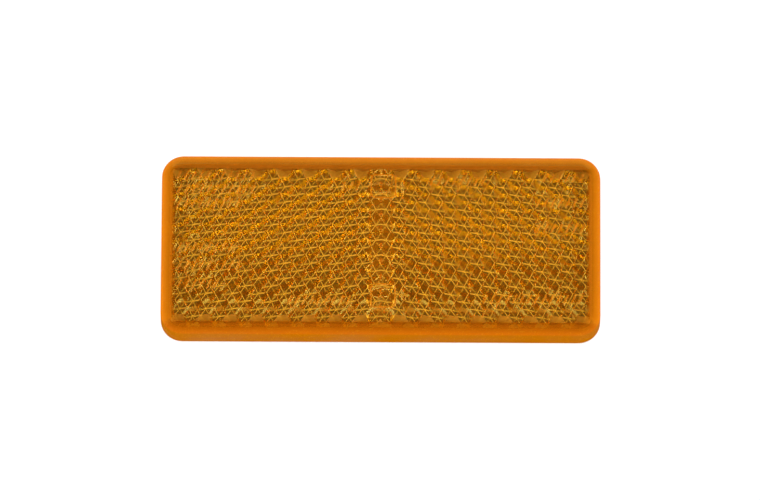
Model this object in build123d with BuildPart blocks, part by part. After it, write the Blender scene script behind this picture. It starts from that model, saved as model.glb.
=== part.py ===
from build123d import *

import math
import os

# Self-adhesive prismatic marker reflector, lying on its mounting side.
# Millimetres. +Z is out of the reflecting face, +X runs along the long side,
# and the origin is the centre of the underside, on the release liner.

# Body outline, shared by the lens and everything behind it
LENGTH = 90.0
WIDTH = 38.5
CORNER_RADIUS = 4.5

# Layers behind the body, from the liner up
LINER_THICKNESS = 0.12
GLUE_THICKNESS = 0.08
FOAM_THICKNESS = 0.84
TAPE_LENGTH = 80.0
TAPE_WIDTH = 29.0
TAPE_RADIUS = 3.0
TAB_WIDTH = 14.0
TAB_REACH = 3.6
TAB_RADIUS = 2.5

# Lens moulding
BODY_DEPTH = 6.7
FRONT_WALL = 2.0
FRONT_RADIUS = 1.8
SKIRT_WALL = 1.6
SEAT_WIDTH = 0.7
SEAT_DEPTH = 1.2

# Prisms: hexagonal pins in two mirrored halves, each ended in a cube corner
PITCH_X = 2.67
PITCH_Y = 3.326
COLUMNS_PER_HALF = 16
PINS_PER_COLUMN = 10
PIN_LENGTH = 3.0
APEX_SHIFT = 0.3
MIDDLE_STEP = 0.2
STEPPED_COLUMNS = 2

# Plain moulding marks sunk in the face: rows of short leaning bars, each row as
# (middle x, middle y, number of bars), and square frames at (x, y)
BAR_ROWS = (
    (-34.0, 14.6, 11),
    (-33.8, 11.6, 11),
    (-35.4, 8.6, 9),
    (-6.2, 12.4, 3),
    (15.8, 13.6, 8),
    (37.4, 14.4, 6),
    (36.8, 9.0, 7),
    (36.8, 3.4, 7),
    (-36.0, -1.0, 8),
    (-35.2, -5.0, 9),
    (-37.4, -9.0, 6),
    (-12.6, -12.4, 9),
    (31.2, -12.0, 14),
)
BAR_LENGTH = 2.3
BAR_WIDTH = 0.42
BAR_PITCH = 1.5
BAR_LEAN = 25.0
FRAME_CENTRES = ((0.5, 12.4), (0.5, -11.4))
FRAME_SIDE = 5.4
FRAME_RADIUS = 1.1
MARK_DEPTH = 0.12

# Back plate
PLATE_FIT = 0.05
SPIGOT_HEIGHT = 0.3
SPIGOT_FIT = 0.1

# Heights
GLUE_BACK_Z = LINER_THICKNESS
FOAM_Z = GLUE_BACK_Z + GLUE_THICKNESS
GLUE_FRONT_Z = FOAM_Z + FOAM_THICKNESS
BACK_Z = GLUE_FRONT_Z + GLUE_THICKNESS
FACE_Z = BACK_Z + BODY_DEPTH
WALL_REAR_Z = FACE_Z - FRONT_WALL
APEX_Z = WALL_REAR_Z - PIN_LENGTH

FIELD_X = PITCH_X * COLUMNS_PER_HALF
FIELD_Y = PITCH_Y * PINS_PER_COLUMN / 2

os.makedirs("parts", exist_ok=True)


def outline(inset):
    """The body's rounded rectangle, drawn in by inset all round."""
    RectangleRounded(
        LENGTH - 2 * inset,
        WIDTH - 2 * inset,
        CORNER_RADIUS - inset,
    )


def edge_direction(azimuth):
    """A cube corner's edge, as a unit vector, with the cube's diagonal upright."""
    angle = math.radians(azimuth)
    return (
        math.sqrt(2 / 3) * math.cos(angle),
        math.sqrt(2 / 3) * math.sin(angle),
        math.sqrt(1 / 3),
    )


# One pin, with its hexagon's flats facing along Y. The cube corner has its
# point at the free end, and one of its three edges leans towards the middle.
corner_plane = Plane(
    origin=(APEX_SHIFT, 0, APEX_Z),
    x_dir=edge_direction(0),
    z_dir=edge_direction(240),
)

with BuildPart() as pin:
    with BuildSketch(Plane.XY.offset(WALL_REAR_Z)):
        with BuildLine():
            Polyline(
                (-PITCH_X * 2 / 3, 0),
                (-PITCH_X / 3, PITCH_Y / 2),
                (PITCH_X / 3, PITCH_Y / 2),
                (PITCH_X * 2 / 3, 0),
                (PITCH_X / 3, -PITCH_Y / 2),
                (-PITCH_X / 3, -PITCH_Y / 2),
                close=True,
            )
        make_face()
    extrude(amount=-PIN_LENGTH)
    with Locations(corner_plane):
        Box(
            3 * PIN_LENGTH,
            3 * PIN_LENGTH,
            3 * PIN_LENGTH,
            align=(Align.MIN, Align.MIN, Align.MIN),
            mode=Mode.INTERSECT,
        )

with BuildPart() as full_column:
    with GridLocations(1, PITCH_Y, 1, PINS_PER_COLUMN):
        add(pin.part)

# The columns between start and end half a pin further out
with BuildPart() as staggered_column:
    with GridLocations(1, PITCH_Y, 1, PINS_PER_COLUMN + 1):
        add(pin.part)

# One column more at each end fills the points between the last hexagons
column_x = [-PITCH_X * (k + 0.5) for k in range(-1, COLUMNS_PER_HALF + 1)]


def column_lift(x):
    """How much shorter a column's pins are. They step down towards the middle."""
    index = max(0, round(-x / PITCH_X - 0.5))
    return MIDDLE_STEP * max(0, STEPPED_COLUMNS - index)


column_spots = [(x, 0, column_lift(x)) for x in column_x]

with BuildPart() as prisms:
    with Locations(*column_spots[1::2]):
        add(full_column.part)
    with Locations(*column_spots[0::2]):
        add(staggered_column.part)
    with Locations((-FIELD_X / 2, 0, WALL_REAR_Z)):
        Box(
            FIELD_X,
            2 * FIELD_Y,
            3 * PIN_LENGTH,
            mode=Mode.INTERSECT,
        )
    mirror(about=Plane.YZ)


# Lens: front wall with a rounded edge, a skirt round the rim with a seat for
# the back plate, the marks in the face and the prisms inside the front wall
with BuildPart() as lens:
    with BuildSketch(Plane.XY.offset(BACK_Z)):
        outline(0)
    extrude(amount=BODY_DEPTH)
    fillet(lens.faces().sort_by(Axis.Z)[-1].edges(), FRONT_RADIUS)
    with BuildSketch(Plane.XY.offset(BACK_Z)):
        outline(SKIRT_WALL)
    extrude(amount=BODY_DEPTH - FRONT_WALL, mode=Mode.SUBTRACT)
    with BuildSketch(Plane.XY.offset(BACK_Z)):
        outline(SKIRT_WALL - SEAT_WIDTH)
    extrude(amount=SEAT_DEPTH, mode=Mode.SUBTRACT)
    with BuildSketch(Plane.XY.offset(FACE_Z)):
        for row_x, row_y, count in BAR_ROWS:
            with Locations((row_x, row_y)):
                with GridLocations(BAR_PITCH, 1, count, 1):
                    SlotOverall(BAR_LENGTH, BAR_WIDTH, rotation=90 - BAR_LEAN)
        with Locations(*FRAME_CENTRES):
            RectangleRounded(FRAME_SIDE, FRAME_SIDE, FRAME_RADIUS)
            RectangleRounded(
                FRAME_SIDE - 2 * BAR_WIDTH,
                FRAME_SIDE - 2 * BAR_WIDTH,
                FRAME_RADIUS - BAR_WIDTH,
                mode=Mode.SUBTRACT,
            )
    extrude(amount=-MARK_DEPTH, mode=Mode.SUBTRACT)
    add(prisms.part)


# Back plate: a plate that drops into the seat and a low chamfered spigot that
# centres it inside the skirt
with BuildPart() as back_plate:
    with BuildSketch(Plane.XY.offset(BACK_Z)):
        outline(SKIRT_WALL - SEAT_WIDTH + PLATE_FIT)
    extrude(amount=SEAT_DEPTH)
    with BuildSketch(Plane.XY.offset(BACK_Z + SEAT_DEPTH)):
        outline(SKIRT_WALL + SPIGOT_FIT)
    extrude(amount=SPIGOT_HEIGHT)
    chamfer(back_plate.faces().sort_by(Axis.Z)[-1].edges(), SPIGOT_HEIGHT / 2)


# Tape: a foam core coated with glue on both sides
with BuildPart() as glue_front:
    with BuildSketch(Plane.XY.offset(GLUE_FRONT_Z)):
        RectangleRounded(TAPE_LENGTH, TAPE_WIDTH, TAPE_RADIUS)
    extrude(amount=GLUE_THICKNESS)

with BuildPart() as foam_core:
    with BuildSketch(Plane.XY.offset(FOAM_Z)):
        RectangleRounded(TAPE_LENGTH, TAPE_WIDTH, TAPE_RADIUS)
    extrude(amount=FOAM_THICKNESS)

with BuildPart() as glue_back:
    with BuildSketch(Plane.XY.offset(GLUE_BACK_Z)):
        RectangleRounded(TAPE_LENGTH, TAPE_WIDTH, TAPE_RADIUS)
    extrude(amount=GLUE_THICKNESS)


# Release liner: the tape's outline with a finger tab at one end that stays
# inside the body's outline
with BuildPart() as release_liner:
    with BuildSketch():
        RectangleRounded(TAPE_LENGTH, TAPE_WIDTH, TAPE_RADIUS)
        with Locations((TAPE_LENGTH / 2 + TAB_REACH / 2 - TAB_RADIUS, 0)):
            RectangleRounded(
                TAB_REACH + 2 * TAB_RADIUS,
                TAB_WIDTH,
                TAB_RADIUS,
            )
    extrude(amount=LINER_THICKNESS)


named_parts = {
    "lens": lens,
    "back_plate": back_plate,
    "glue_front": glue_front,
    "foam_core": foam_core,
    "glue_back": glue_back,
    "release_liner": release_liner,
}

for label, built in named_parts.items():
    built.part.label = label
    export_step(built.part, f"parts/{label}.step")
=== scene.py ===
import math

import bmesh
import bpy
from mathutils import Matrix, Vector, noise
from mathutils.geometry import tessellate_polygon


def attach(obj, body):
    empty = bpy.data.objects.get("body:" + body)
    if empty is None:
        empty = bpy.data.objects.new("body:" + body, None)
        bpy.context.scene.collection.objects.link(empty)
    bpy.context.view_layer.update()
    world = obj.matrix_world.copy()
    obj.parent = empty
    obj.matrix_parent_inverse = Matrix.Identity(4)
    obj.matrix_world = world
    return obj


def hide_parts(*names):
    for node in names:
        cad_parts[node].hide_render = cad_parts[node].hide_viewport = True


MM = 0.001

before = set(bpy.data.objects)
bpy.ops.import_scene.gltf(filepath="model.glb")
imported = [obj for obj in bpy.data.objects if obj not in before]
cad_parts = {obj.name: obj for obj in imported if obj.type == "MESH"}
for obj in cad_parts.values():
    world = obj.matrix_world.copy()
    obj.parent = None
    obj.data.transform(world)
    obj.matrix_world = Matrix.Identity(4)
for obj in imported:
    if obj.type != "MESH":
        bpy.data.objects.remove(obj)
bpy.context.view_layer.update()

# ---------------------------------------------------------------- dimensions
# Millimetres, as in part.py

LENGTH = 90.0
WIDTH = 38.5
CORNER_RADIUS = 4.5
BACK_Z = 1.12
FACE_Z = 7.82
FRONT_WALL = 2.0
FRONT_RADIUS = 1.8
SKIRT_WALL = 1.6
SEAT_WIDTH = 0.7
SEAT_DEPTH = 1.2
WALL_REAR_Z = FACE_Z - FRONT_WALL
SKIRT_DRAFT = 0.15
# Between the weld seat and the back plate, so that no two faces coincide
WELD_GAP = 0.03
# Section of the broken edge at the back: inset, height above the back
BACK_EDGE = ((0.2, 0.0), (0.06, 0.06), (0.0, 0.2))
# How far the smooth shading of the rounded edge runs on into the flat face
SHADING_RUN_ON = 0.05

LINER_THICKNESS = 0.12
GLUE_THICKNESS = 0.08
FOAM_THICKNESS = 0.84
FOAM_Z = LINER_THICKNESS + GLUE_THICKNESS
TAPE_LENGTH = 80.0
TAPE_WIDTH = 29.0
TAPE_RADIUS = 3.0
TAB_WIDTH = 14.0
TAB_REACH = 3.6
TAB_RADIUS = 2.5

PITCH_X = 2.67
PITCH_Y = 3.326
COLUMNS_PER_HALF = 16
PINS_PER_COLUMN = 10
PIN_LENGTH = 3.0
APEX_SHIFT = 0.3
MIDDLE_STEP = 0.2
STEPPED_COLUMNS = 2
CELL_AREA = PITCH_X * PITCH_Y
FIELD_X = PITCH_X * COLUMNS_PER_HALF
FIELD_Y = PITCH_Y * PINS_PER_COLUMN / 2
CUBE_FACES = 3
# Depth of the flat that breaks each of the three edges of a cube corner
ROOF_BREAKS = (0.075, 0.12, 0.075)
# A pin with less than this share of a whole outline counts as cut by the field's
# edge, and one within this many pitches of the middle counts as central
CUT_SHARE = 0.6
CENTRAL_PITCHES = 1.2

# Moulding marks in the face: rows of bars as (middle x, middle y, number)
BAR_ROWS = (
    (-34.0, 14.6, 11),
    (-33.8, 11.6, 11),
    (-35.4, 8.6, 9),
    (-6.2, 12.4, 3),
    (15.8, 13.6, 8),
    (37.4, 14.4, 6),
    (36.8, 9.0, 7),
    (36.8, 3.4, 7),
    (-36.0, -1.0, 8),
    (-35.2, -5.0, 9),
    (-37.4, -9.0, 6),
    (-12.6, -12.4, 9),
    (31.2, -12.0, 14),
)
BAR_LENGTH = 2.3
BAR_WIDTH = 0.42
BAR_PITCH = 1.5
BAR_LEAN = 25.0
FRAME_CENTRES = ((0.5, 12.4), (0.5, -11.4))
FRAME_SIDE = 5.4
FRAME_RADIUS = 1.1
MARK_DEPTH = 0.12
# Section of a mark's channel: share of its width, share of its depth
CHANNEL = ((0.0, 0.0), (0.15, 0.7), (0.32, 1.0), (0.68, 1.0), (0.85, 0.7), (1.0, 0.0))

ARC_STEPS = 10
EDGE_STEPS = 10
BAR_END_STEPS = 5
QUARTERS = ((1, 1, 0), (-1, 1, 90), (-1, -1, 180), (1, -1, 270))

# Tolerances, in millimetres, square millimetres and shares of a side
SLACK = 0.01  # in telling which region a point of the finished mesh lies in
NEAR = 1e-3  # within this a point is on the field's edge or on the face
LEAST_CELL = 1e-3  # a smaller pin is left out
APART = 1e-4  # points of an outline are at least this far apart
SLIVER = 1e-6  # smaller areas, shares and steps in height are left out
LEVEL = 1e-7  # rounding error of a height
ON_LINE = 1e-8  # rounding error of a point on a line
ROUNDING = 1e-12  # rounding error of a share
# Points whose coordinates agree to this many digits are one point
DIGITS = 4

# Detail of the foam's cut sides and of the liner's curled tab
FOAM_ROWS = 6
FOAM_PULL = 0.1
# How many parts of the pull are the same all round. Each place adds -1 to 1 part
FOAM_EVEN_PULL = 1.2
FOAM_CELL = 0.35
LINER_ACROSS = 12
LINER_STEP = 2.0
CORNER_CUTS = 8
# Extra cuts across the liner, this far past the tape's end
TAB_CUTS = (0.02, 0.5)
TAB_CURL = 0.6

# Amber: the clear glass and its shine, the haze in the field, on the rounded edge, painted
# shade below the field, the haze on the side wall, the scuffs, and the painted highlight
# on the broken prism edges
AMBER_GLASS = (1.0, 0.71, 0.34, 1)
AMBER_GLOSS = (1.0, 0.3, 0.02, 1)
AMBER_HAZE = (1.0, 0.38, 0.01, 1)
AMBER_BAND = (0.6, 0.16, 0.002, 1)
# Painted shade: the darker, redder colour that the haze takes just below the field
AMBER_LOW_SHADE = (0.48, 0.11, 0.001, 1)
AMBER_RIM = (0.38, 0.11, 0.0004, 1)
AMBER_SCUFF = (0.75, 0.33, 0.01, 1)
# Painted highlight: the pale colour of the broken prism edges stands for the light they catch
AMBER_ROOF_HIGHLIGHT = (1.0, 0.76, 0.36, 1)
AMBER_DEPTH = (0.987, 0.94, 0.2, 1)
AMBER_DENSITY = 150.0
ACRYLIC_IOR = 1.49
FACE_RIPPLE = 0.003
SCUFF_SHARE = 0.25

# The clear moulding is a mix of glass and haze. Its mesh has two attributes that
# set the share of haze: edge for each point, 1 at the outline and 0 inside
# EDGE_FADE, and roof for each face of the prisms, which also brings in the painted
# highlight colour
EDGE_FADE = 3.0
LOWER_POWER = 1.5  # how fast edge falls below the field
UPPER_POWER = 0.8  # how fast it falls elsewhere
MIDDLE_HAZE = 0.0  # edge on the pins beside the middle
MARK_HAZE = 0.5  # edge on the sunk marks
WALL_HAZE = 0.35  # roof on the walls between pins
CENTRE_HAZE = 0.06  # roof on the cube faces of the central pins
# The cut pins' pale roof is painted light, for the bright back plate seen through the front wall
WINDOW_HAZE_AND_LIGHT = 0.9  # roof on the cube faces of the cut pins
# The ring's roof is painted light: a golden border round the field, left out below it
RING_HAZE_AND_LIGHT = 0.5  # roof on the flat round the field, but not below it
HAZE_IN_FIELD = 0.055  # haze where edge is 0
HAZE_ON_RIM = 0.965  # haze where edge is 1
HAZE_ON_ROOFS = 0.95  # haze that a roof of 1 adds
# How fast roof brings in the painted highlight colour
ROOF_HIGHLIGHT_POWER = 3.0

# Where the looks change over, in millimetres: below the face, where its wear and
# ripple end and where the side wall's colour takes over, and past the field's lower
# edge, where the painted shade below the field comes in
FACE_SKIN = (0.4, 0.1)
WALL_BELOW = (1.4, 2.1)
LOW_SHADE_PAST = (0.2, 0.8)
# And in terms of edge: from the field to the band, on to the side wall, and where
# the scuffs begin
BAND_EDGE = (0.0, 0.12)
RIM_EDGE = (0.8, 1.0)
SCUFF_EDGE = (0.25, 0.6)
SCUFF_NOISE = (0.56, 0.66)
STREAK_NOISE = (0.6, 0.75)

# The other materials: two colours that each one varies between
PLATE_COLOURS = ((0.93, 0.92, 0.89, 1), (0.87, 0.86, 0.83, 1))
GLUE_COLOURS = ((0.85, 0.81, 0.67, 1), (0.76, 0.7, 0.55, 1))
# The foam's colours run from painted shade in the cells' hollows to its white
FOAM_PIT_SHADE_COLOURS = ((0.72, 0.72, 0.7, 1), (0.92, 0.92, 0.9, 1))
LINER_COLOURS = ((0.36, 0.25, 0.14, 1), (0.47, 0.35, 0.22, 1))
FLOOR_COLOURS = ((0.5, 0.5, 0.5, 1), (0.52, 0.52, 0.52, 1))
FLOOR_GLOW = 0.55
# The range that a noise texture mostly stays in
NOISE_RANGE = (0.3, 0.7)


# ------------------------------------------------------------- mesh helpers
def rounded_rectangle(x, y, x_mid, y_mid, radius, steps):
    """Points round a rectangle about (x, y). Its corner arcs have their centres
    at x_mid and y_mid from there."""
    points = []
    for x_sign, y_sign, start in QUARTERS:
        for step in range(steps + 1):
            angle = math.radians(start + 90 * step / steps)
            points.append(
                (
                    x + x_sign * x_mid + radius * math.cos(angle),
                    y + y_sign * y_mid + radius * math.sin(angle),
                )
            )
    return points


def ring(inset, z):
    """Points of the body's rounded rectangle, drawn in by inset, at height z."""
    x_mid = LENGTH / 2 - CORNER_RADIUS
    y_mid = WIDTH / 2 - CORNER_RADIUS
    flat = rounded_rectangle(0, 0, x_mid, y_mid, CORNER_RADIUS - inset, ARC_STEPS)
    return [(*point, z) for point in flat]


def clip(polygon, a, b, c):
    """The part of a convex polygon where a*x + b*y + c is at least zero."""
    kept = []
    for i, p in enumerate(polygon):
        q = polygon[(i + 1) % len(polygon)]
        at_p = a * p[0] + b * p[1] + c
        at_q = a * q[0] + b * q[1] + c
        if at_p >= 0:
            kept.append(p)
        if (at_p > 0 > at_q) or (at_p < 0 < at_q):
            t = at_p / (at_p - at_q)
            kept.append((p[0] + t * (q[0] - p[0]), p[1] + t * (q[1] - p[1])))
    return kept


def area(polygon):
    """The area inside a polygon that runs anticlockwise."""
    total = 0.0
    for i, p in enumerate(polygon):
        q = polygon[(i + 1) % len(polygon)]
        total += p[0] * q[1] - q[0] * p[1]
    return total / 2


def key_of(point):
    """What two points have in common when they are in the same place."""
    return tuple(round(v, DIGITS) for v in point)


def triangles_between(loops):
    """The triangles that fill the first loop, round the others as holes."""
    points = [point for loop in loops for point in loop]
    vectors = [[Vector(point) for point in loop] for loop in loops]
    return [[points[i] for i in triangle] for triangle in tessellate_polygon(vectors)]


class Shell:
    """The lens's mesh while it is built. Faces are given by their corners in
    millimetres, and they join where two corners are in the same place."""

    def __init__(self):
        self.bm = bmesh.new()
        self.roof = self.bm.faces.layers.float.new("roof")
        self.made = {}

    def vert(self, point):
        key = key_of(point)
        if key not in self.made:
            self.made[key] = self.bm.verts.new(Vector(point) * MM)
        return self.made[key]

    def face(self, points, smooth=False, roof=0.0):
        """Adds a face, unless it has no area or is there already."""
        verts = []
        for point in points:
            v = self.vert(point)
            if v not in verts:
                verts.append(v)
        if len(verts) < 3 or self.bm.faces.get(verts):
            return
        face = self.bm.faces.new(verts)
        face.smooth = smooth
        face[self.roof] = roof

    def loft(self, loops, smooth):
        """Adds the quads between each loop of points and the next."""
        for low, high in zip(loops, loops[1:]):
            for i in range(len(low)):
                n = (i + 1) % len(low)
                self.face([low[i], low[n], high[n], high[i]], smooth)


def finish_piece(name, bm, body, node):
    """The object made of a finished bmesh, in metres, in place of a CAD node."""
    bmesh.ops.recalc_face_normals(bm, faces=bm.faces)
    mesh = bpy.data.meshes.new(name)
    bm.to_mesh(mesh)
    bm.free()
    piece = bpy.data.objects.new(name, mesh)
    bpy.context.scene.collection.objects.link(piece)
    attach(piece, body)
    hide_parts(node)
    return piece


# ------------------------------------------------------------------- prisms
def cube_planes(x, y, z, side):
    """The planes that end a pin: three cube faces and the three broken edges
    between them, each as height = h + gx * x + gy * y."""
    faces = []
    for i in range(CUBE_FACES):
        angle = math.radians(360 / CUBE_FACES * i)
        faces.append(
            Vector(
                (
                    -side * math.sqrt(2 / 3) * math.cos(angle),
                    math.sqrt(2 / 3) * math.sin(angle),
                    math.sqrt(1 / 3),
                )
            )
        )
    cuts = [(face, 0.0) for face in faces]
    for i, depth in enumerate(ROOF_BREAKS):
        between = faces[i] + faces[(i + 1) % CUBE_FACES]
        cuts.append((between.normalized(), depth))
    planes = []
    for normal, depth in cuts:
        gx = -normal.x / normal.z
        gy = -normal.y / normal.z
        planes.append((gx, gy, z + depth / normal.z - gx * x - gy * y))
    return planes


def height(plane, point):
    """The height of a plane at a point."""
    return plane[2] + plane[0] * point[0] + plane[1] * point[1]


def column_lift(k):
    """How much shorter a column's pins are. They step down towards the middle."""
    return MIDDLE_STEP * max(0, STEPPED_COLUMNS - max(0, k))


def pin_cells():
    """Every pin as (outline, planes)."""
    cells = []
    for side in (-1, 1):
        for k in range(-1, COLUMNS_PER_HALF + 1):
            x = side * PITCH_X * (k + 0.5)
            count = PINS_PER_COLUMN + (k % 2)
            for j in range(count):
                y = PITCH_Y * (j - (count - 1) / 2)
                outline = [
                    (x + PITCH_X * 2 / 3, y),
                    (x + PITCH_X / 3, y + PITCH_Y / 2),
                    (x - PITCH_X / 3, y + PITCH_Y / 2),
                    (x - PITCH_X * 2 / 3, y),
                    (x - PITCH_X / 3, y - PITCH_Y / 2),
                    (x + PITCH_X / 3, y - PITCH_Y / 2),
                ]
                outline = clip(outline, side, 0, 0)
                outline = clip(outline, -side, 0, FIELD_X)
                outline = clip(outline, 0, 1, FIELD_Y)
                outline = clip(outline, 0, -1, FIELD_Y)
                if len(outline) < 3 or area(outline) < LEAST_CELL:
                    continue
                apex_x = x - side * APEX_SHIFT
                apex_z = WALL_REAR_Z - PIN_LENGTH + column_lift(k)
                cells.append((outline, cube_planes(apex_x, y, apex_z, side)))
    return cells


def edge_profile(planes, p, q):
    """Where the end of a pin runs along one side, as [(share, height), ...]."""
    shares = {0.0, 1.0}
    ends = [(height(s, p), height(s, q)) for s in planes]
    for i in range(len(ends)):
        for j in range(i):
            a = ends[i][0] - ends[j][0]
            b = ends[i][1] - ends[j][1]
            if a * b < 0:
                t = a / (a - b)
                z = ends[i][0] + t * (ends[i][1] - ends[i][0])
                top = max(e[0] + t * (e[1] - e[0]) for e in ends)
                if abs(z - top) < LEVEL:
                    shares.add(t)
    profile = [(t, max(e[0] + t * (e[1] - e[0]) for e in ends)) for t in sorted(shares)]
    capped = [(0.0, min(profile[0][1], WALL_REAR_Z))]
    for (t0, z0), (t1, z1) in zip(profile, profile[1:]):
        if (z0 - WALL_REAR_Z) * (z1 - WALL_REAR_Z) < 0:
            t = t0 + (t1 - t0) * (WALL_REAR_Z - z0) / (z1 - z0)
            capped.append((t, WALL_REAR_Z))
        capped.append((t1, min(z1, WALL_REAR_Z)))
    return capped


def value_at(profile, t):
    """The height of an edge profile at the share t of its side."""
    for (t0, z0), (t1, z1) in zip(profile, profile[1:]):
        if t <= t1 + ROUNDING:
            return z0 + (z1 - z0) * (t - t0) / (t1 - t0)
    return profile[-1][1]


def with_spots(polygon, spots):
    """The polygon with every spot that lies on its outline put in."""
    full = []
    for a, b in zip(polygon, polygon[1:] + polygon[:1]):
        full.append(a)
        length = math.dist(a, b)
        between = []
        for s in spots:
            along = math.dist(a, s)
            if APART < along < length - APART:
                if abs(along + math.dist(s, b) - length) < ON_LINE:
                    between.append((along, s))
        full += [s for _, s in sorted(between)]
    return full


def shared_sides(cells):
    """The sides of the pins, each as the [(pin, start, end), ...] that share it."""
    sides = {}
    for index, (outline, _) in enumerate(cells):
        for i, p in enumerate(outline):
            q = outline[(i + 1) % len(outline)]
            ends = frozenset((key_of(p), key_of(q)))
            if len(ends) == 2:
                sides.setdefault(ends, []).append((index, p, q))
    return sides.values()


def corner_levels(cells):
    """The heights that the pins' ends reach at each corner of an outline."""
    levels = {}
    for outline, planes in cells:
        for spot in outline:
            top = min(WALL_REAR_Z, max(height(plane, spot) for plane in planes))
            levels.setdefault(key_of(spot), set()).add(top)
    return levels


def upright(levels, spot, start, end):
    """The points between two heights of a wall's upright side."""
    low, high = min(start, end), max(start, end)
    known = levels.get(key_of(spot), ())
    between = sorted(z for z in known if low + APART < z < high - APART)
    if start > end:
        between.reverse()
    return [(*spot, z) for z in between]


def wall_shares(first, second):
    """Where along a side either profile turns, or the two of them cross."""
    turns = []
    for t in sorted({t for t, _ in first} | {t for t, _ in second}):
        if not turns or t - turns[-1] > SLIVER:
            turns.append(t)
    shares = [turns[0]]
    for t0, t1 in zip(turns, turns[1:]):
        a = value_at(first, t0) - value_at(second, t0)
        b = value_at(first, t1) - value_at(second, t1)
        if a * b < 0 and min(abs(a), abs(b)) > SLIVER:
            shares.append(t0 + (t1 - t0) * a / (a - b))
        shares.append(t1)
    return shares


def add_walls(shell, cells):
    """The upright walls between pins. Returns the points that the walls put on
    each pin's outline, and those on the field's outline."""
    levels = corner_levels(cells)
    on_outline = [[] for _ in cells]
    border = []
    for found in shared_sides(cells):
        index, p, q = found[0]
        first = edge_profile(cells[index][1], p, q)
        second = [(0.0, WALL_REAR_Z), (1.0, WALL_REAR_Z)]
        if len(found) > 1:
            second = edge_profile(cells[found[1][0]][1], p, q)
        shares = wall_shares(first, second)
        spots = [(p[0] + t * (q[0] - p[0]), p[1] + t * (q[1] - p[1])) for t in shares]
        for owner, _, _ in found:
            on_outline[owner] += spots
        if len(found) == 1:
            border += spots
        steps = list(zip(shares, spots))
        for (t0, s0), (t1, s1) in zip(steps, steps[1:]):
            a0, a1 = value_at(first, t0), value_at(first, t1)
            b0, b1 = value_at(second, t0), value_at(second, t1)
            wall = [(*s0, a0), (*s1, a1)]
            wall += upright(levels, s1, a1, b1)
            wall += [(*s1, b1), (*s0, b0)]
            wall += upright(levels, s0, b0, a0)
            shell.face(wall, roof=WALL_HAZE)
    return on_outline, border


def end_haze(outline, facet):
    """The value of roof on one facet of a pin's end. The cube faces come first,
    then the broken edges."""
    if facet >= CUBE_FACES:
        return 1.0
    at_edge = max(abs(y) for _, y in outline) > FIELD_Y - NEAR
    # Cut pins at the field's edge take painted light
    if at_edge and area(outline) < CUT_SHARE * CELL_AREA:
        return WINDOW_HAZE_AND_LIGHT
    if max(abs(x) for x, _ in outline) < PITCH_X * CENTRAL_PITCHES:
        return CENTRE_HAZE
    return 0.0


def add_ends(shell, cells, on_outline):
    """The facets that end the pins: where each plane is the highest of its pin."""
    for (outline, planes), spots in zip(cells, on_outline):
        for i, mine in enumerate(planes):
            polygon = outline
            for j, other in enumerate(planes):
                if i != j and len(polygon) > 2:
                    polygon = clip(polygon, *(m - o for m, o in zip(mine, other)))
            below = clip(polygon, -mine[0], -mine[1], WALL_REAR_Z - mine[2])
            above = clip(polygon, mine[0], mine[1], mine[2] - WALL_REAR_Z)
            for piece in (below, above):
                if len(piece) < 3 or area(piece) < SLIVER:
                    continue
                full = with_spots(piece, spots)
                facet = [(*s, min(height(mine, s), WALL_REAR_Z)) for s in full]
                shell.face(facet, roof=end_haze(outline, i))


def around_field(spot):
    """What sorts the points of the field's outline anticlockwise."""
    x, y = spot
    if abs(y + FIELD_Y) < NEAR and x < FIELD_X - NEAR:
        return (0, x)
    if abs(x - FIELD_X) < NEAR and y < FIELD_Y - NEAR:
        return (1, y)
    if abs(y - FIELD_Y) < NEAR and x > -FIELD_X + NEAR:
        return (2, -x)
    return (3, -y)


def add_rear(shell, border):
    """The flat rear of the front wall, between the skirt and the prisms."""
    unique = {key_of(spot): spot for spot in border}
    hole = [(*spot, WALL_REAR_Z) for spot in sorted(unique.values(), key=around_field)]
    outline = ring(SKIRT_WALL + SKIRT_DRAFT, WALL_REAR_Z)
    for triangle in triangles_between([outline, hole]):
        # The ring takes painted golden light, except below the field
        is_lower = min(y for _, y, _ in triangle) < -FIELD_Y + SLACK
        shell.face(triangle, roof=0.0 if is_lower else RING_HAZE_AND_LIGHT)


# --------------------------------------------------------------- marks, lens
def bar_loop(x, y, radius):
    """The outline of one leaning bar, with round ends."""
    lean = math.radians(90 - BAR_LEAN)
    reach = (BAR_LENGTH - BAR_WIDTH) / 2
    points = []
    for end in (1, -1):
        centre_x = x + end * reach * math.cos(lean)
        centre_y = y + end * reach * math.sin(lean)
        for step in range(BAR_END_STEPS + 1):
            turn = lean + math.pi * (step / BAR_END_STEPS - end / 2)
            points.append((centre_x + radius * math.cos(turn), centre_y + radius * math.sin(turn)))
    return points


def square_loop(x, y, inset):
    """The outline of a square frame with rounded corners, drawn in by inset."""
    reach = FRAME_SIDE / 2 - FRAME_RADIUS
    return rounded_rectangle(x, y, reach, reach, FRAME_RADIUS - inset, BAR_END_STEPS)


def at_depth(loop, share):
    """A loop of points at a share of the marks' depth."""
    return [(*point, FACE_Z - MARK_DEPTH * share) for point in loop]


def add_marks(shell):
    """The sunk marks. Returns the outlines that they leave in the face."""
    holes = []
    for row_x, row_y, count in BAR_ROWS:
        for i in range(count):
            x = row_x + BAR_PITCH * (i - (count - 1) / 2)
            loops = []
            for across, depth in CHANNEL[: len(CHANNEL) // 2]:
                radius = BAR_WIDTH / 2 * (1 - 2 * across)
                loops.append(at_depth(bar_loop(x, row_y, radius), depth))
            shell.loft(loops, True)
            shell.face(loops[-1], True)
            holes.append(loops[0])
    for x, y in FRAME_CENTRES:
        loops = []
        for across, depth in CHANNEL:
            loops.append(at_depth(square_loop(x, y, BAR_WIDTH * across), depth))
        shell.loft(loops, True)
        shell.face(loops[-1])
        holes.append(loops[0])
    return holes


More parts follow.
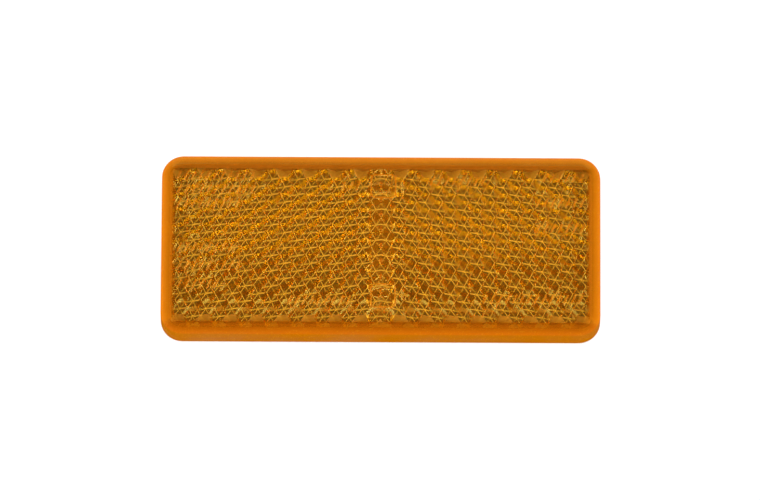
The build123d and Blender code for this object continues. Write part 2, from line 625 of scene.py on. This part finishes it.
def inset_of(x, y):
    """How far a point lies inside the body's outline."""
    dx = abs(x) - (LENGTH / 2 - CORNER_RADIUS)
    dy = abs(y) - (WIDTH / 2 - CORNER_RADIUS)
    if dx > 0 and dy > 0:
        return CORNER_RADIUS - math.hypot(dx, dy)
    return CORNER_RADIUS - max(dx, dy)


def edge_share(x, y, z):
    """The value of edge at a point: 1 at the outline, fading to 0 at EDGE_FADE
    inside it. The pins beside the middle and the marks have their own."""
    in_field = z < WALL_REAR_Z - SLACK and abs(y) <= FIELD_Y + SLACK
    if in_field and abs(x) < PITCH_X:
        return MIDDLE_HAZE
    inset = inset_of(x, y)
    if FACE_Z - 2 * MARK_DEPTH < z < FACE_Z - NEAR and inset > EDGE_FADE:
        return MARK_HAZE
    power = LOWER_POWER if y < -FIELD_Y else UPPER_POWER
    return max(0.0, 1.0 - inset / EDGE_FADE) ** power


def outer_profile():
    """The outside from the back edge to the flat face, as (inset, height)."""
    profile = [(inset, BACK_Z + rise) for inset, rise in BACK_EDGE]
    for step in range(EDGE_STEPS + 1):
        angle = math.radians(90 * step / EDGE_STEPS)
        inset = FRONT_RADIUS * (1 - math.cos(angle))
        profile.append((inset, FACE_Z - FRONT_RADIUS * (1 - math.sin(angle))))
    profile.append((FRONT_RADIUS + SHADING_RUN_ON, FACE_Z))
    profile.append((EDGE_FADE, FACE_Z))
    return profile


def inner_profile():
    """The back's rim, the plate's seat and the skirt's inside, as (inset, height)."""
    seat_inset = SKIRT_WALL - SEAT_WIDTH
    seat_z = BACK_Z + SEAT_DEPTH + WELD_GAP
    return [
        (BACK_EDGE[0][0], BACK_Z),
        (seat_inset, BACK_Z),
        (seat_inset, seat_z),
        (SKIRT_WALL, seat_z),
        (SKIRT_WALL + SKIRT_DRAFT, WALL_REAR_Z),
    ]


def build_lens():
    """The clear moulding: its face with the marks, its skirt and its prisms."""
    shell = Shell()
    shell.loft([ring(inset, z) for inset, z in outer_profile()], True)
    for triangle in triangles_between([ring(EDGE_FADE, FACE_Z)] + add_marks(shell)):
        shell.face(triangle)
    shell.loft([ring(inset, z) for inset, z in inner_profile()], False)
    cells = pin_cells()
    on_outline, border = add_walls(shell, cells)
    add_ends(shell, cells, on_outline)
    add_rear(shell, border)
    lens = finish_piece("lens_moulding", shell.bm, "reflector", "lens")
    edge = lens.data.attributes.new("edge", "FLOAT", "POINT")
    for v, item in zip(lens.data.vertices, edge.data):
        item.value = edge_share(*(c / MM for c in v.co))
    return lens


# ------------------------------------------------------------ foam and liner
def tape_loop(z):
    """Points of the tape's rounded rectangle at height z."""
    x_mid = TAPE_LENGTH / 2 - TAPE_RADIUS
    y_mid = TAPE_WIDTH / 2 - TAPE_RADIUS
    flat = rounded_rectangle(0, 0, x_mid, y_mid, TAPE_RADIUS, ARC_STEPS)
    return [(*point, z) for point in flat]


def with_steps(loop, longest):
    """The loop with its long sides cut into steps."""
    cut = []
    for a, b in zip(loop, loop[1:] + loop[:1]):
        count = max(1, math.ceil(math.dist(a, b) / longest))
        for i in range(count):
            t = i / count
            cut.append(tuple(a[k] + t * (b[k] - a[k]) for k in range(3)))
    return cut


def build_foam():
    """The foam pad: a die-cut sheet whose sides pull in a little and show the
    opened cells."""
    bm = bmesh.new()
    rows = []
    for step in range(FOAM_ROWS + 1):
        t = step / FOAM_ROWS
        z = FOAM_Z + FOAM_THICKNESS * t
        pull = FOAM_PULL * (1 - (2 * t - 1) ** 2)
        row = []
        for x, y, _ in with_steps(tape_loop(z), FOAM_CELL):
            cell = noise.noise(Vector((x, y, z)) / FOAM_CELL)
            inward = pull * (FOAM_EVEN_PULL + cell)
            reach = math.hypot(x, y)
            place = Vector((x - x / reach * inward, y - y / reach * inward, z))
            row.append(bm.verts.new(place * MM))
        rows.append(row)
    for low, high in zip(rows, rows[1:]):
        for i in range(len(low)):
            n = (i + 1) % len(low)
            bm.faces.new((low[i], low[n], high[n], high[i]))
    bm.faces.new(rows[0])
    bm.faces.new(rows[-1])
    return finish_piece("foam_pad", bm, "reflector", "foam_core")


def liner_half_width(x):
    """Half the liner's width at x: the tape's outline, then the finger tab."""
    tape_end = TAPE_LENGTH / 2
    into_corner = abs(x) - (tape_end - TAPE_RADIUS)
    width = 0.0
    if abs(x) <= tape_end:
        width = TAPE_WIDTH / 2
        if into_corner > 0:
            width -= TAPE_RADIUS - math.sqrt(max(0.0, TAPE_RADIUS**2 - into_corner**2))
    if x > 0:
        into_tab = x - (tape_end + TAB_REACH - TAB_RADIUS)
        tab = TAB_WIDTH / 2
        if into_tab > 0:
            tab -= TAB_RADIUS - math.sqrt(max(0.0, TAB_RADIUS**2 - into_tab**2))
        width = max(width, tab)
    return width


def liner_stations():
    """Where the liner is cut across, closer together round its corners."""
    tape_end = TAPE_LENGTH / 2
    tip = tape_end + TAB_REACH
    marks = []
    for step in range(CORNER_CUTS + 1):
        turn = math.pi / 2 * step / CORNER_CUTS
        marks.append(-tape_end + TAPE_RADIUS * (1 - math.cos(turn)))
        marks.append(tape_end - TAPE_RADIUS * (1 - math.cos(turn)))
        marks.append(tip - TAB_RADIUS * (1 - math.cos(turn)))
    steps = round((TAPE_LENGTH - 2 * TAPE_RADIUS) / LINER_STEP)
    marks += [-tape_end + TAPE_RADIUS + LINER_STEP * i for i in range(1, steps)]
    marks += [tape_end + past for past in TAB_CUTS]
    return sorted({round(x, DIGITS) for x in marks if x <= tip})


def build_liner():
    """The release liner: a paper sheet whose finger tab curls up off the glue."""
    bm = bmesh.new()
    tape_end = TAPE_LENGTH / 2
    sections = []
    for x in liner_stations():
        half = liner_half_width(x)
        past = max(0.0, x - tape_end) / TAB_REACH
        lift = TAB_CURL * past**2
        section = []
        for layer in (0, LINER_THICKNESS):
            row = []
            for i in range(LINER_ACROSS + 1):
                y = half * (2 * i / LINER_ACROSS - 1)
                row.append(bm.verts.new(Vector((x, y, layer + lift)) * MM))
            section.append(row)
        sections.append(section)
    for first, second in zip(sections, sections[1:]):
        for i in range(LINER_ACROSS):
            for a, b in zip(first, second):
                bm.faces.new((a[i], a[i + 1], b[i + 1], b[i]))
        for i in (0, LINER_ACROSS):
            bm.faces.new((first[0][i], second[0][i], second[1][i], first[1][i]))
    for bottom, top in (sections[0], sections[-1]):
        for i in range(LINER_ACROSS):
            bm.faces.new((bottom[i], bottom[i + 1], top[i + 1], top[i]))
    return finish_piece("liner_sheet", bm, "liner", "release_liner")


# ---------------------------------------------------------------- materials
class Look:
    """A node material with short ways to add and join its nodes. Scales are in
    features per millimetre."""

    def __init__(self, name):
        self.material = bpy.data.materials.new(name)
        self.material.use_nodes = True
        self.nodes = self.material.node_tree.nodes
        self.links = self.material.node_tree.links
        self.nodes.clear()
        self.out = self.add("ShaderNodeOutputMaterial")
        self.place = self.add("ShaderNodeTexCoord").outputs["Object"]

    def add(self, kind, **values):
        """A new node, with its inputs given by name."""
        node = self.nodes.new(kind)
        for name, value in values.items():
            self.feed(node.inputs[name.replace("_", " ")], value)
        return node

    def feed(self, socket, value):
        """Joins another socket to this one, or sets its constant."""
        if isinstance(value, bpy.types.NodeSocket):
            self.links.new(value, socket)
        else:
            socket.default_value = value

    def noise(self, per_mm, detail=2.0, stretch=(1, 1, 1)):
        mapping = self.add("ShaderNodeMapping", Vector=self.place)
        mapping.inputs["Scale"].default_value = stretch
        texture = self.add(
            "ShaderNodeTexNoise",
            Vector=mapping.outputs["Vector"],
            Scale=per_mm / MM,
            Detail=detail,
        )
        return texture.outputs["Fac"]

    def cells(self, per_mm):
        texture = self.add("ShaderNodeTexVoronoi", Vector=self.place, Scale=per_mm / MM)
        return texture.outputs["Distance"]

    def span(self, value, start, end, low, high):
        """value from start..end taken to low..high."""
        ends = {"From_Min": start, "From_Max": end, "To_Min": low, "To_Max": high}
        node = self.add("ShaderNodeMapRange", Value=value, **ends)
        return node.outputs["Result"]

    def maths(self, operation, a, b):
        node = self.add("ShaderNodeMath")
        node.operation = operation
        self.feed(node.inputs[0], a)
        self.feed(node.inputs[1], b)
        return node.outputs["Value"]

    def blend(self, share, first, second):
        node = self.add("ShaderNodeMixRGB", Fac=share, Color1=first, Color2=second)
        return node.outputs["Color"]

    def attribute(self, name):
        node = self.add("ShaderNodeAttribute")
        node.attribute_name = name
        return node.outputs["Fac"]

    def bump(self, value, depth_mm, strength=1.0):
        node = self.add("ShaderNodeBump", Height=value, Strength=strength, Distance=depth_mm * MM)
        return node.outputs["Normal"]

    def surface(self, shader):
        self.links.new(shader, self.out.inputs["Surface"])
        return self.material


def amber_body(look, edge, place):
    """The colour of the amber's haze, from the field out to the side wall, with painted shade
    below the field.
    """
    scuffs = look.span(look.noise(3.0, 4), *SCUFF_NOISE, 0.0, 1.0)
    scuffs = look.maths("MULTIPLY", scuffs, look.span(edge, *SCUFF_EDGE, 0.0, 1.0))
    body = look.blend(look.span(edge, *BAND_EDGE, 0.0, 1.0), AMBER_HAZE, AMBER_BAND)
    # Painted shade: below the field the haze turns darker and redder
    shade_start, shade_end = (-(FIELD_Y + past) * MM for past in LOW_SHADE_PAST)
    low = look.span(place["Y"], shade_start, shade_end, 0.0, 1.0)
    body = look.blend(low, body, AMBER_LOW_SHADE)
    wall_start, wall_end = ((FACE_Z - below) * MM for below in WALL_BELOW)
    on_wall = look.span(place["Z"], wall_start, wall_end, 0.0, 1.0)
    on_wall = look.maths("MULTIPLY", on_wall, look.span(edge, *RIM_EDGE, 0.0, 1.0))
    body = look.blend(on_wall, body, AMBER_RIM)
    return look.blend(look.maths("MULTIPLY", scuffs, SCUFF_SHARE), body, AMBER_SCUFF)


def amber_acrylic():
    """Clear amber moulding with a little haze, frosted and scuffed at the rim, with painted shade
    below the field and a painted highlight on the prism edges.
    """
    look = Look("amber_acrylic")
    edge = look.attribute("edge")
    roof = look.attribute("roof")
    place = look.add("ShaderNodeSeparateXYZ", Vector=look.place).outputs
    skin_start, skin_end = ((FACE_Z - below) * MM for below in FACE_SKIN)
    on_face = look.span(place["Z"], skin_start, skin_end, 0.0, 1.0)
    streaks = look.span(look.noise(0.04, 3, (1, 60, 60)), *STREAK_NOISE, 0.0, 0.08)
    rough = look.span(look.noise(0.3, 3), *NOISE_RANGE, 0.012, 0.04)
    ripple = look.maths("MULTIPLY", look.noise(0.35, 1), on_face)
    glass = look.add(
        "ShaderNodeBsdfPrincipled",
        Base_Color=AMBER_GLASS,
        Transmission_Weight=1.0,
        IOR=ACRYLIC_IOR,
        Roughness=look.maths("ADD", rough, look.maths("MULTIPLY", streaks, on_face)),
        Specular_Tint=AMBER_GLOSS,
        Normal=look.bump(ripple, FACE_RIPPLE),
    )
    body = amber_body(look, edge, place)
    haze = look.add(
        "ShaderNodeBsdfPrincipled",
        # The roofs take a painted highlight colour
        Base_Color=look.blend(look.maths("POWER", roof, ROOF_HIGHLIGHT_POWER), body, AMBER_ROOF_HIGHLIGHT),
        Roughness=look.span(look.noise(1.5, 3), *NOISE_RANGE, 0.28, 0.45),
        Specular_IOR_Level=0.0,
    )
    share = look.span(edge, 0.0, 1.0, HAZE_IN_FIELD, HAZE_ON_RIM)
    uneven = look.span(look.noise(0.09, 2), *NOISE_RANGE, 0.97, 1.05)
    share = look.maths("MULTIPLY", share, uneven)
    share = look.maths("ADD", share, look.maths("MULTIPLY", roof, HAZE_ON_ROOFS))
    mix = look.add("ShaderNodeMixShader", Fac=share)
    look.links.new(glass.outputs["BSDF"], mix.inputs[1])
    look.links.new(haze.outputs["BSDF"], mix.inputs[2])
    absorb = look.add("ShaderNodeVolumeAbsorption", Color=AMBER_DEPTH, Density=AMBER_DENSITY)
    look.links.new(absorb.outputs["Volume"], look.out.inputs["Volume"])
    return look.surface(mix.outputs["Shader"])


def plate_abs():
    """White moulded ABS with a fine spark-eroded grain."""
    look = Look("plate_abs")
    tone = look.span(look.noise(0.05, 3), *NOISE_RANGE, 0.0, 1.0)
    grain = look.noise(5.0, 3)
    shader = look.add(
        "ShaderNodeBsdfPrincipled",
        Base_Color=look.blend(tone, *PLATE_COLOURS),
        Roughness=look.span(grain, *NOISE_RANGE, 0.42, 0.6),
        Normal=look.bump(grain, 0.01, 0.6),
    )
    return look.surface(shader.outputs["BSDF"])


def acrylic_glue():
    """Tacky, faintly yellow glue with tiny bubbles."""
    look = Look("acrylic_glue")
    bubbles = look.span(look.cells(4.0), 0.0, 0.35, 1.0, 0.0)
    tone = look.span(look.noise(0.6, 3), *NOISE_RANGE, 0.0, 1.0)
    shader = look.add(
        "ShaderNodeBsdfPrincipled",
        Base_Color=look.blend(tone, *GLUE_COLOURS),
        Roughness=look.span(bubbles, 0.0, 1.0, 0.18, 0.4),
        Normal=look.bump(bubbles, 0.02, 0.5),
    )
    return look.surface(shader.outputs["BSDF"])


def white_foam():
    """Closed-cell foam, cut so that its cells show, with painted shade in their hollows."""
    look = Look("white_foam")
    cells = look.span(look.cells(5.0), 0.0, 0.7, 0.0, 1.0)
    shader = look.add(
        "ShaderNodeBsdfPrincipled",
        # Painted shade: the cells' hollows are darker
        Base_Color=look.blend(cells, *FOAM_PIT_SHADE_COLOURS),
        Roughness=look.span(look.noise(2.0, 3), *NOISE_RANGE, 0.8, 0.95),
        Normal=look.bump(cells, 0.06),
    )
    return look.surface(shader.outputs["BSDF"])


def liner_paper():
    """Siliconed kraft paper: fibres under a smooth, slightly glossy coat."""
    look = Look("liner_paper")
    fibres = look.noise(1.2, 5, (1, 5, 1))
    clouds = look.noise(0.12, 3)
    tone = look.span(look.maths("ADD", fibres, clouds), 0.75, 1.25, 0.0, 1.0)
    shader = look.add(
        "ShaderNodeBsdfPrincipled",
        Base_Color=look.blend(tone, *LINER_COLOURS),
        Roughness=look.span(clouds, *NOISE_RANGE, 0.28, 0.42),
        Coat_Weight=0.3,
        Coat_Roughness=0.15,
        Normal=look.bump(fibres, 0.02, 0.5),
    )
    return look.surface(shader.outputs["BSDF"])


def pale_floor():
    """A matt white table, lit evenly enough to leave hardly any shadow."""
    look = Look("pale_floor")
    tone = look.span(look.noise(0.01, 3), *NOISE_RANGE, 0.0, 1.0)
    shader = look.add(
        "ShaderNodeBsdfPrincipled",
        Base_Color=look.blend(tone, *FLOOR_COLOURS),
        Roughness=0.9,
        Emission_Color=(1, 1, 1, 1),
        Emission_Strength=FLOOR_GLOW,
    )
    return look.surface(shader.outputs["BSDF"])


def dress(piece, material):
    """Gives a piece or a CAD node its one material."""
    piece.data.materials.clear()
    piece.data.materials.append(material)


glue = acrylic_glue()
dress(build_lens(), amber_acrylic())
dress(build_foam(), white_foam())
dress(build_liner(), liner_paper())
dress(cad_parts["back_plate"], plate_abs())
dress(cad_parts["glue_front"], glue)
dress(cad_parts["glue_back"], glue)

# -------------------------------------------------------------------- stage
# Distances and the floor are in metres; the aim, lens and sensor in millimetres
CAMERA_TILT = math.radians(19.6)
CAMERA_DISTANCE = 2.6
CAMERA_LENS = 600.7
SENSOR_WIDTH = 36.0
CLIP_START = 0.01
CLIP_END = 20.0
ROLL = math.radians(0.3)
AIM_X = -0.16
AIM_Y = -0.3
TOWARDS_CAMERA = (0.0, -math.sin(CAMERA_TILT), math.cos(CAMERA_TILT))
MIRRORED = (0.0, math.sin(CAMERA_TILT), math.cos(CAMERA_TILT))
# The strength of the light all round and in its two dark openings, which are
# (direction, degrees within which it is dark, degrees past which it is light)
STUDIO_LIGHT = 1.65
OPENING_LIGHT = 0.03
OPENINGS = ((TOWARDS_CAMERA, 7, 13), (MIRRORED, 8, 14))
FLOOR_REACH = 3
FLOOR_DROP = 0.0002


def build_world():
    """Even white light, with a dark opening about the camera's direction and one
    about the direction that the face mirrors it to."""
    world = bpy.data.worlds.new("studio")
    world.use_nodes = True
    nodes = world.node_tree.nodes
    links = world.node_tree.links
    nodes.clear()
    coordinates = nodes.new("ShaderNodeTexCoord").outputs["Generated"]
    darkest = nodes.new("ShaderNodeMath")
    darkest.operation = "MAXIMUM"
    for i, (direction, inner, outer) in enumerate(OPENINGS):
        dot = nodes.new("ShaderNodeVectorMath")
        dot.operation = "DOT_PRODUCT"
        dot.inputs[1].default_value = direction
        mask = nodes.new("ShaderNodeMapRange")
        mask.interpolation_type = "SMOOTHSTEP"
        mask.inputs["From Min"].default_value = math.cos(math.radians(outer))
        mask.inputs["From Max"].default_value = math.cos(math.radians(inner))
        links.new(coordinates, dot.inputs[0])
        links.new(dot.outputs["Value"], mask.inputs["Value"])
        links.new(mask.outputs["Result"], darkest.inputs[i])
    strength = nodes.new("ShaderNodeMapRange")
    strength.inputs["To Min"].default_value = STUDIO_LIGHT
    strength.inputs["To Max"].default_value = OPENING_LIGHT
    background = nodes.new("ShaderNodeBackground")
    background.inputs["Color"].default_value = (1, 1, 1, 1)
    links.new(darkest.outputs["Value"], strength.inputs["Value"])
    links.new(strength.outputs["Result"], background.inputs["Strength"])
    output = nodes.new("ShaderNodeOutputWorld")
    links.new(background.outputs["Background"], output.inputs["Surface"])
    return world


def build_floor():
    """The table that the object lies on, just below its underside."""
    r = FLOOR_REACH
    mesh = bpy.data.meshes.new("floor")
    mesh.from_pydata([(-r, -r, 0), (r, -r, 0), (r, r, 0), (-r, r, 0)], [], [(0, 1, 2, 3)])
    floor = bpy.data.objects.new("floor", mesh)
    floor.location.z = -FLOOR_DROP
    bpy.context.scene.collection.objects.link(floor)
    dress(floor, pale_floor())
    return floor


def build_camera():
    """A camera far off with a long lens, tilted from the face's normal."""
    data = bpy.data.cameras.new("camera")
    data.lens = CAMERA_LENS
    data.sensor_width = SENSOR_WIDTH
    data.clip_start = CLIP_START
    data.clip_end = CLIP_END
    camera = bpy.data.objects.new("camera", data)
    bpy.context.scene.collection.objects.link(camera)
    target = Vector((AIM_X * MM, AIM_Y * MM, (BACK_Z + FACE_Z) / 2 * MM))
    back = Vector(TOWARDS_CAMERA)
    camera.location = target + back * CAMERA_DISTANCE
    camera.rotation_mode = "QUATERNION"
    facing = (-back).to_track_quat("-Z", "Y").to_matrix().to_4x4()
    roll = Matrix.Rotation(ROLL, 4, "Z")
    camera.matrix_world = Matrix.Translation(camera.location) @ facing @ roll
    return camera


bpy.context.scene.world = build_world()
floor = build_floor()
camera = build_camera()
bpy.context.scene.camera = camera
bpy.context.scene.view_settings.view_transform = "Standard"
cycles = bpy.context.scene.cycles
# Half of the prism lines are mirror images, which the normal pass doesn't show,
# so the denoiser is guided by the picture and the albedo
cycles.denoising_input_passes = "RGB_ALBEDO"
cycles.denoising_prefilter = "FAST"
# Light turns many times inside the prisms before it leaves
cycles.max_bounces = 40
cycles.glossy_bounces = 32
cycles.transmission_bounces = 32
